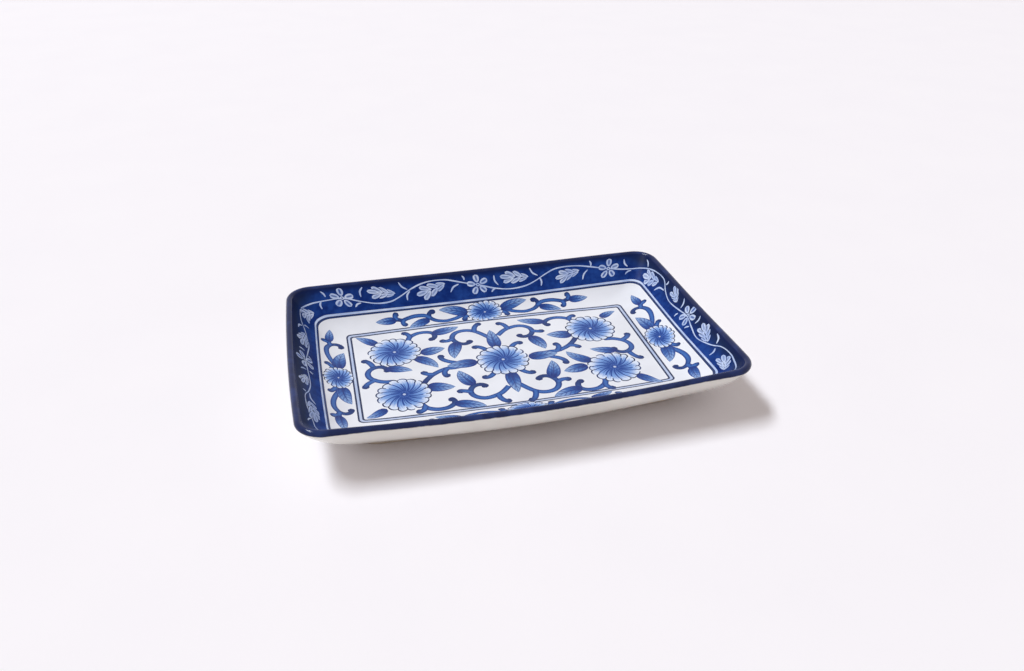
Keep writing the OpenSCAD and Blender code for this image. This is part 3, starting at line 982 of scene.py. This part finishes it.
class Paint:
    """What a finish's colour is mixed from: places on the dish and brush values."""

    def __init__(self, tree):
        self.add = functools.partial(add, tree)
        self.place = self.add("TexCoord")["Object"]

    def brushed(self):
        """Brings in the brush values: along a stroke, off its middle, and tone."""
        self.brush = self.add("Attribute", attribute_name="brush")["Vector"]
        self.even = self.add("VectorMath", (self.brush,), operation="ABSOLUTE")["Vector"]
        self.along, self.across, self.tone = self.add("SeparateXYZ", (self.even,))
        return self

    def blend(self, value, low, high, a, b, start=0.0, end=1.0):
        """Colour that eases from a share start to a share end of the way from a to b.

        It does so while a value runs from low to high.
        """
        share = self.add("MapRange", (value, low, high, start, end), interpolation_type="SMOOTHSTEP")[0]
        return self.add("Mix", {0: share, 6: rgba(a), 7: rgba(b)}, data_type="RGBA")[2]

    def grain(self, mm, share=1.0, onto=0.0, detail=3.0):
        """A share of grain of a given size in mm, laid onto a value."""
        spots = {"Vector": self.place, "Scale": 1 / (mm * MM), "Detail": detail}
        noise = self.add("TexNoise", spots)["Fac"]
        return self.add("Math", (noise, share, onto), operation="MULTIPLY_ADD")[0]

    def hairs(self, along, across, share, onto):
        """A share of the brush's hair marks, laid onto a value. Each stroke has its own marks."""
        apart = (along, across, STROKES_APART)
        lanes = self.add("VectorMath", (self.brush, apart), operation="MULTIPLY")["Vector"]
        noise = self.add("TexNoise", {"Vector": lanes, "Scale": 1.0, "Detail": 2.0})["Fac"]
        return self.add("Math", (noise, share, onto), operation="MULTIPLY_ADD")[0]

    def specked(self, base, mm, edge, share):
        """A few iron specks over a colour, about mm apart."""
        off = self.add("TexVoronoi", {"Vector": self.place, "Scale": 1 / (mm * MM)})["Distance"]
        return self.blend(off, 0.02, edge, base, "#8a8178", share, 0.0)

    def towards_ends(self, near, far, start, end):
        """A value that eases from start to end, from near to far mm along the dish from its middle."""
        x = self.add("SeparateXYZ", (self.place,))["X"]
        off = self.add("Math", (x,), operation="ABSOLUTE")[0]
        way = (off, near * MM, far * MM, start, end)
        return self.add("MapRange", way, interpolation_type="SMOOTHSTEP")[0]


def glaze(name, paint, smoothest=0.12, dullest=0.2, gloss=GLOSS):
    """A fired glaze over the colour that paint mixes.

    The glassy coat keeps a faint ripple from dipping, about 5 mm from crest to crest, and is a
    little duller in places.
    """
    mat = bpy.data.materials.new(name)
    mat.use_nodes = True
    tree = mat.node_tree
    tree.nodes.clear()
    p = Paint(tree).brushed()
    ripple = {"Height": p.grain(5, detail=1.5), "Strength": 0.5, "Distance": 0.03 * MM}
    shader = p.add("BsdfPrincipled", {
        "Base Color": paint(p),
        "Roughness": p.add("MapRange", (p.grain(11), 0.3, 0.7, smoothest, dullest))[0],
        "IOR": 1.5,
        "Specular IOR Level": gloss,
        "Normal": p.add("Bump", ripple)["Normal"],
    })
    p.add("OutputMaterial", {"Surface": shader["BSDF"]})
    return mat


def make_materials(c):
    """The dish's finishes by name, from the colours c."""

    # Clear feldspathic glaze on white porcelain: cool white, faintly clouded, a few iron specks
    def ground(p):
        base = p.blend(p.grain(14), 0.35, 0.7, c.ground, c.ground_dull)
        return p.specked(base, 7, 0.035, 0.35)

    # Cobalt brushed on in one pull: darker along both edges and at the end, where colour gathers
    def stem_paint(p):
        edge = p.add("Math", (p.across, 1.6), operation="POWER")[0]
        body = p.blend(p.hairs(9, 1.4, 0.6, edge), 0.2, 1.15, "#3c6cb6", "#143a85")
        return p.blend(p.along, 0.4, 1.0, body, "#18306b")

    # A leaf laid in two pulls: loaded at the base, thinned to the tip, veined with a fine brush
    def leaf_paint(p):
        tone = p.hairs(1.4, 4.2, 0.8, p.along)
        body = p.blend(tone, 0.45, 0.9, "#0b2e79", "#3869b3")
        body = p.blend(tone, 0.78, 1.25, body, c.pale)
        phase = p.add("VectorMath", (p.even, (38, -8, 0)), operation="DOT_PRODUCT")["Value"]
        vein = p.add("Math", (phase,), operation="SINE")[0]
        body = p.blend(vein, 0.2, 0.9, body, c.deep, 0.0, 0.6)
        body = p.blend(p.across, 0.03, 0.17, body, "#243a80", 0.75, 0.0)
        return p.blend(p.across, 0.7, 0.96, body, "#273d86", 0.0, 0.85)

    # Petals shaded from a loaded brush at the eye to nearly bare glaze at the rim
    def petal_paint(p):
        tone = p.hairs(1.5, 3.4, 0.6, p.along)
        inner = p.blend(tone, 0.4, 1.02, "#4a74c0", "#7aa2e0")
        return p.blend(tone, 0.9, 1.32, inner, "#dfe9fc")

    # Outlines drawn with a fine brush: blue where it is thin, near black where it is loaded
    def line_paint(p):
        return p.blend(p.grain(3, 0.3, p.tone), 0.1, 1.1, "#1a4596", c.line)

    # A thin wash between the frame's two lines, paler where the brush ran dry
    def tint_paint(p):
        return p.blend(p.grain(6), 0.3, 0.7, c.tint, "#c9d4ec")

    # Cobalt wash on the border: cloudy, denser towards the lip, most of all on the short sides
    def wash_paint(p):
        cloud = p.grain(1.8, 0.5, p.grain(9, 0.6))
        body = p.blend(cloud, 0.4, 0.75, c.wash, c.wash_thin)
        short = p.towards_ends(52, 60, 0.0, 0.9)
        body = p.blend(p.tone, 0.15, 0.9, body, "#17233f", 0.0, short)
        return p.blend(p.tone, 0.74, 0.99, body, c.lip, 0.0, 0.9)

    # Porcelain left pale in the wash; a petal keeps some blue inside its pale loop
    def reserve_paint(p):
        pale = p.blend(p.grain(4), 0.35, 0.7, c.reserve, "#d1def8")
        past = p.add("Math", (p.along, 0.55), operation="SUBTRACT")[0]
        off = p.add("Math", (past,), operation="ABSOLUTE")[0]
        hollow = p.add("MapRange", (off, 0.2, 0.42, p.tone, 0.0), interpolation_type="SMOOTHSTEP")[0]
        return p.blend(p.across, 0.2, 0.5, pale, "#3a5ba4", hollow, 0.0)

    # Thick cobalt wiped over the lip: near black, thinner in places, ragged at its lower edge,
    # which lies lower round the ends than along the long sides
    def lip_paint(p):
        body = p.blend(p.grain(5), 0.45, 0.75, c.lip, "#2b4282", 0.0, 0.55)
        low = p.add("Math", (p.across, p.towards_ends(46, 60, 0.12, 0.0)), operation="ADD")[0]
        return p.blend(p.grain(2.5, 0.12, low), 0.96, 1.05, body, c.outside)

    # Clear glaze over the outer wall: warm white, faintly clouded, with a few iron specks
    def outside_paint(p):
        base = p.blend(p.grain(16), 0.35, 0.7, c.outside, "#e2dfd8")
        return p.specked(base, 9, 0.03, 0.4)

    # Biscuit porcelain, ground flat after firing: matt, fine-grained, a little stained
    def biscuit_paint(p):
        stain = p.blend(p.grain(6), 0.4, 0.75, c.biscuit, "#c9b8a4")
        return p.blend(p.grain(0.6), 0.5, 0.8, stain, "#a8998a", 0.0, 0.3)

    return {
        "ground": glaze("Clear_Glaze_on_White_Porcelain", ground),
        "stem": glaze("Underglaze_Cobalt_Stem", stem_paint),
        "leaf": glaze("Underglaze_Cobalt_Leaf", leaf_paint),
        "petal": glaze("Underglaze_Cobalt_Petal", petal_paint),
        "line": glaze("Underglaze_Cobalt_Outline", line_paint),
        "tint": glaze("Underglaze_Cobalt_Tint", tint_paint),
        "wash": glaze("Underglaze_Cobalt_Wash", wash_paint, 0.3, 0.42, 0.05),
        "reserve": glaze("Reserved_Porcelain_in_Wash", reserve_paint, 0.3, 0.42, 0.1),
        "lip": glaze("Thick_Cobalt_Lip_Glaze", lip_paint, 0.07, 0.14, 0.2),
        "outside": glaze("Clear_Glaze_Outer_Wall", outside_paint, 0.1, 0.2),
        "biscuit": glaze("Ground_Biscuit_Porcelain", biscuit_paint, 0.7, 0.85),
    }


@functools.cache
def materials():
    """The dish's finishes, made once."""
    return make_materials(bpy.context.scene.dish_colours)


# Meshes

def loft_faces(rings, points, closed):
    """Faces between neighbouring rings, facing out, with caps unless the last joins the first."""
    faces = []
    for i in range(rings if closed else rings - 1):
        a, b = i * points, (i + 1) % rings * points
        for j in range(points):
            n = (j + 1) % points
            faces.append((a + j, b + j, b + n, a + n))
    if not closed:
        faces.append(tuple(range(points)))
        faces.append(tuple((rings - 1) * points + j for j in reversed(range(points))))
    return faces


def new_object(name, points, faces, slots):
    """An object from points in mm, faces and its materials."""
    mesh = bpy.data.meshes.new(name)
    mesh.from_pydata((np.asarray(points) * MM).tolist(), [], faces)
    for slot in slots:
        mesh.materials.append(slot)
    mesh.polygons.foreach_set("use_smooth", np.ones(len(mesh.polygons), bool))
    obj = bpy.data.objects.new(name, mesh)
    bpy.context.scene.collection.objects.link(obj)
    return obj


def lofted(name, form, stations, slot, closed, across=None):
    """A piece skinned over rings at stations, with the brush's across value at each ring."""
    places = outline_places()
    rings = form.at(stations[:, None, :], places[None, :])
    count, around = rings.shape[:2]
    obj = new_object(name, rings.reshape(-1, 3), loft_faces(count, around, closed), [slot])
    mesh = obj.data
    brush = np.zeros((count * around, 3), np.float32)
    if across is not None:
        brush[:, 1] = np.repeat(across, around)
    mesh.attributes.new("brush", "FLOAT_VECTOR", "POINT").data.foreach_set("vector", brush.ravel())
    mesh.set_sharp_from_angle(angle=SHARP)
    return obj


def coat(form, stations):
    """Stations of a glaze coat: out over the glaze and back along the body."""
    return np.vstack((stations, form.under(stations)[::-1]))


def backing(form, stations, places, base, first, last=()):
    """Under face of a painted coat, whose points follow base other ones.

    It runs from the coat's first edge to its last, or to a cap where there is none.
    """
    around = len(places)
    stations = form.under(stations)
    points = form.at(stations[:, None, :], places[None, :]).reshape(-1, 3)
    end = base + (len(stations) - 1) * around
    faces = [tuple(base + i for i in face) for face in loft_faces(len(stations), around, False)[:-2]]
    for j in range(around):
        n = (j + 1) % around
        faces.append((first[j], base + j, base + n, first[n]))
        if last:
            faces.append((last[n], end + n, end + j, last[j]))
    if not last:
        faces.append(tuple(end + j for j in reversed(range(around))))
    return points, faces


def painted(name, top, faces, normals, kinds, brush, under, under_faces):
    """A painted coat: its cut top face with finishes and brush values, and its plain under face."""
    made = materials()
    every = [tuple(face) for face in faces.tolist()] + under_faces
    obj = new_object(name, np.vstack((top, under)), every, [made[kind] for kind in KINDS])
    mesh = obj.data
    slots = np.zeros(len(every), np.int32)
    slots[:len(faces)] = kinds
    mesh.polygons.foreach_set("material_index", slots)
    corners = np.zeros((len(mesh.loops), 3), np.float32)
    corners[:faces.size] = brush.reshape(-1, 3)
    mesh.attributes.new("brush", "FLOAT_VECTOR", "CORNER").data.foreach_set("vector", corners.ravel())
    facing = np.zeros((len(mesh.loops), 3))
    facing[:faces.size] = normals[faces.ravel()]
    mesh.set_sharp_from_angle(angle=SHARP)
    mesh.normals_split_custom_set(facing.tolist())
    return obj


def seat(obj, node):
    """Puts a piece on the dish's one body in the place of its CAD node."""
    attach(obj, "root")
    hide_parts(node)


class DISH_OT_body(bpy.types.Operator):
    """Pressed porcelain: floor, leaning walls, rounded lip and the bare foot ring"""

    bl_idname = "dish.body"
    bl_label = "Porcelain Body"

    def execute(self, context):
        form = Form(context.scene.dish_sizes)
        share = np.linspace(0, 1, BODY_RINGS)
        covered = np.vstack((form.band(share), form.wall(share)[1:], form.lip(share)[1:],
                             form.outer(share)[1:]))
        worn = ((0, FOOT_WORN), (0.3 * FOOT_WORN, 0.3 * FOOT_WORN), (FOOT_WORN, 0))
        foot_in = form.foot_inset + form.foot_w
        foot = [form.foot(form.foot_inset + inset, z) for inset, z in worn]
        foot += [form.foot(foot_in - inset, z) for inset, z in reversed(worn)]
        foot.append(form.foot(foot_in, form.foot_h + form.glaze_t))
        stations = np.vstack((form.under(covered), foot))
        obj = lofted("Porcelain_Body", form, stations, materials()["biscuit"], False)
        seat(obj, "porcelain_body")
        return {"FINISHED"}


class DISH_OT_well(bpy.types.Operator):
    """Clear glaze over the floor and its climbing band, with the panel and bands painted under it"""

    bl_idname = "dish.well"
    bl_label = "Well Glaze"

    def execute(self, context):
        form = Form(context.scene.dish_sizes)
        places = outline_places()
        rim = form.at(form.band(np.array(1.0)), places)[:, :2]
        sheet = paint_well(math.degrees(form.panel_turn), rim)
        # Points of a staggered grid, so that the well bends evenly between the strokes
        columns, rows = (np.arange(-half, half, step) for half, step in zip(GRID_HALF, GRID_STEP))
        grid = np.array([(x + GRID_STEP[0] / 2 * (j % 2), y) for j, y in enumerate(rows) for x in columns])
        grid = grid[form.outside(grid, form.band(np.full(len(grid), GRID_SHARE))) < 0]
        xy, faces, kinds, brush = sheet.cut(grid)
        near = xy * (1 - SLOPE_IN / GRID_HALF[0])
        slopes = [(form.well(near + way)[:, 2] - form.well(near - way)[:, 2]) / (2 * SLOPE_STEP)
                  for way in np.eye(2) * SLOPE_STEP]
        normals = unit(np.column_stack((-slopes[0], -slopes[1], np.ones(len(xy)))))
        ring = [sheet.number[i] for i in range(len(places))]
        under = backing(form, form.band(np.linspace(1, 0, UNDER_RINGS)), places, len(xy), ring)
        obj = painted("Well_Glaze", form.well(xy), faces, normals, kinds, brush, *under)
        seat(obj, "well_glaze")
        return {"FINISHED"}


class DISH_OT_border(bpy.types.Operator):
    """Cobalt wash on the inner walls, with a vine, blossoms and sprigs left pale in it"""

    bl_idname = "dish.border"
    bl_label = "Border Glaze"

    def execute(self, context):
        form = Form(context.scene.dish_sizes)
        unrolled = Unrolled(form)
        total, high, places = unrolled.total, unrolled.high, unrolled.places
        sheet = paint_border(unrolled)
        rows = np.linspace(0, high, BORDER_ROWS + 2)[1:-1]
        grid = [(s, w) for s in np.append(unrolled.marks, total) for w in rows]
        flat, faces, kinds, brush = sheet.cut(grid)
        s, w = flat.T
        points, normals = unrolled.lifted(s, w), unrolled.normals(s, w)

        def edge(mask, order):
            """Numbers of the points on one edge, in order along it."""
            found = np.flatnonzero(mask)
            return found[np.argsort(order[found], kind="stable")].tolist()

        # Weld the end of the run to its start
        first, last = edge(s < CLOSE, w), edge(s > total - CLOSE, w)
        if len(first) != len(last):
            raise ValueError("the border's two ends don't match")
        weld = np.arange(len(s))
        weld[last] = first
        used, faces = np.unique(weld[faces], return_inverse=True)
        points, normals, s, w = points[used], normals[used], s[used], w[used]
        # Anticlockwise round the dish is clockwise on a wall seen from inside
        faces, brush = faces.reshape(-1, 3)[:, ::-1], brush[:, ::-1]
        low, top = edge(w < CLOSE, s), edge(w > high - CLOSE, s)
        if len(low) != len(places) or len(top) != len(places):
            raise ValueError("the border's edges don't match its rings")
        stations = form.wall(np.linspace(1, 0, UNDER_RINGS))
        under = backing(form, stations, places, len(points), top, low)
        obj = painted("Border_Glaze", points, faces, normals, kinds, brush, *under)
        seat(obj, "border_glaze")
        return {"FINISHED"}


class DISH_OT_lip(bpy.types.Operator):
    """Dark cobalt wiped over the rounded lip"""

    bl_idname = "dish.lip"
    bl_label = "Lip Glaze"

    def execute(self, context):
        form = Form(context.scene.dish_sizes)
        share = np.linspace(0, 1, LIP_RINGS)
        across = np.concatenate((share, share[::-1]))
        obj = lofted("Lip_Glaze", form, coat(form, form.lip(share)), materials()["lip"], True, across)
        seat(obj, "lip_glaze")
        return {"FINISHED"}


class DISH_OT_outside(bpy.types.Operator):
    """Clear glaze down the outer wall and under the floor"""

    bl_idname = "dish.outside"
    bl_label = "Outer Glazes"

    def execute(self, context):
        form = Form(context.scene.dish_sizes)
        slot = materials()["outside"]
        stations = coat(form, form.outer(np.linspace(0, 1, OUTER_RINGS)))
        obj = lofted("Outer_Glaze", form, stations, slot, True)
        seat(obj, "outer_glaze")
        foot_in = form.foot_inset + form.foot_w
        heights = (form.foot_h + form.glaze_t, form.foot_h)
        stations = np.array([form.foot(foot_in, z) for z in heights])
        obj = lofted("Base_Glaze", form, stations, slot, False)
        seat(obj, "base_glaze")
        return {"FINISHED"}


class DISH_OT_stage(bpy.types.Operator):
    """Pale table, soft lamp from above, light all round, and the camera"""

    bl_idname = "dish.stage"
    bl_label = "Stage"

    def execute(self, context):
        context.scene.view_settings.view_transform = "Standard"
        self.lay_table(context.scene)
        self.hang_lamp(context.scene)
        self.light_room(context.scene)
        self.set_camera(context.scene)
        return {"FINISHED"}

    def lay_table(self, scene):
        """A wide matt table, a hair under the foot, faintly clouded."""
        corners = ((-1, -1), (1, -1), (1, 1), (-1, 1))
        points = [(x * TABLE_HALF, y * TABLE_HALF, -TABLE_DOWN) for x, y in corners]
        mat = bpy.data.materials.new("Matt_White_Table")
        mat.use_nodes = True
        tree = mat.node_tree
        shader = tree.nodes["Principled BSDF"]
        p = Paint(tree)
        tones = {0: p.grain(40), 6: rgba(scene.dish_colours.table), 7: rgba(BACKDROP)}
        tone = p.add("Mix", tones, data_type="RGBA")[2]
        tree.links.new(tone, shader.inputs["Base Color"])
        shader.inputs["Roughness"].default_value = 0.85
        table = new_object("Table", points, [(0, 1, 2, 3)], [mat])

    def hang_lamp(self, scene):
        """One soft lamp from above, to the left and a little behind."""
        stage = scene.dish_stage
        lamp = bpy.data.lights.new("Soft_Lamp", "AREA")
        lamp.shape = "RECTANGLE"
        lamp.size = 2 * LAMP_FAR * math.tan(math.radians(stage.lamp_long / 2))
        lamp.size_y = 2 * LAMP_FAR * math.tan(math.radians(stage.lamp_wide / 2))
        lamp.energy = stage.sun * math.pi * LAMP_FAR ** 2
        lamp.color = LAMP_TINT
        obj = bpy.data.objects.new("Soft_Lamp", lamp)
        toward = Vector(LAMP_WAY).normalized()
        obj.location = toward * LAMP_FAR
        obj.rotation_mode = "QUATERNION"
        obj.rotation_quaternion = toward.to_track_quat("Z", "Y")
        scene.collection.objects.link(obj)

    def light_room(self, scene):
        """Light all round, brighter from above. The camera and mirrors see a pale backdrop."""
        sky = scene.dish_stage.sky
        world = bpy.data.worlds.new("Soft_Room")
        scene.world = world
        world.use_nodes = True
        tree = world.node_tree
        back = tree.nodes["Background"]
        up = add(tree, "SeparateXYZ", (add(tree, "TexCoord")["Generated"],))["Z"]
        bright = add(tree, "MapRange", (up, 0.0, 1.0, 0.6 * sky, 1.2 * sky))[0]
        ray = add(tree, "LightPath")
        seen = ray["Is Camera Ray"]
        for kind in ("Is Glossy Ray", "Is Transmission Ray"):
            seen = add(tree, "Math", (seen, ray[kind]), operation="MAXIMUM")[0]
        tone = add(tree, "Mix", {0: seen, 6: rgba(SKY_TINT), 7: rgba(BACKDROP)}, data_type="RGBA")[2]
        strength = add(tree, "Mix", {0: seen, 2: bright, 3: 1.0})[0]
        tree.links.new(tone, back.inputs["Color"])
        tree.links.new(strength, back.inputs["Strength"])

    def set_camera(self, scene):
        """The camera, turned round the dish and rolled by a hair."""
        stage = scene.dish_stage
        camera = bpy.data.cameras.new("Camera")
        camera.lens = stage.lens
        camera.sensor_width = 36
        camera.clip_start = 0.01
        turn, rise, roll = stage.turn, stage.rise, stage.roll
        level = Vector((math.sin(turn), -math.cos(turn), 0))
        back = level * math.cos(rise) + Vector((0, 0, math.sin(rise)))
        right = Vector((math.cos(turn), math.sin(turn), 0))
        up = back.cross(right)
        right, up = (right * math.cos(roll) + up * math.sin(roll),
                     up * math.cos(roll) - right * math.sin(roll))
        eye = Vector(LOOK_AT) * MM + back * stage.distance
        obj = bpy.data.objects.new("Camera", camera)
        obj.matrix_world = Matrix.Translation(eye) @ Matrix((right, up, back)).transposed().to_4x4()
        scene.collection.objects.link(obj)
        scene.camera = obj


OPERATORS = (DISH_OT_body, DISH_OT_well, DISH_OT_border, DISH_OT_lip, DISH_OT_outside, DISH_OT_stage)


class DISH_PT_side(bpy.types.Panel):
    """Lists the dish's pieces, sizes and colours"""

    bl_idname = "DISH_PT_side"
    bl_label = "Soy Sauce Dish"
    bl_space_type = "VIEW_3D"
    bl_region_type = "UI"
    bl_category = "Dish"

    def draw(self, context):
        for operator in OPERATORS:
            self.layout.operator(operator.bl_idname)
        for group in (context.scene.dish_sizes, context.scene.dish_colours, context.scene.dish_stage):
            box = self.layout.box()
            for key in group.__annotations__:
                box.prop(group, key)


CLASSES = (DishSizes, DishColours, DishStage, *OPERATORS, DISH_PT_side)


def register():
    for cls in CLASSES:
        bpy.utils.register_class(cls)
    bpy.types.Scene.dish_sizes = PointerProperty(type=DishSizes)
    bpy.types.Scene.dish_colours = PointerProperty(type=DishColours)
    bpy.types.Scene.dish_stage = PointerProperty(type=DishStage)


def unregister():
    del bpy.types.Scene.dish_sizes
    del bpy.types.Scene.dish_colours
    del bpy.types.Scene.dish_stage
    for cls in reversed(CLASSES):
        bpy.utils.unregister_class(cls)


def main():
    register()
    bpy.ops.dish.body()
    bpy.ops.dish.well()
    bpy.ops.dish.border()
    bpy.ops.dish.lip()
    bpy.ops.dish.outside()
    bpy.ops.dish.stage()


if __name__ == "__main__":
    main()
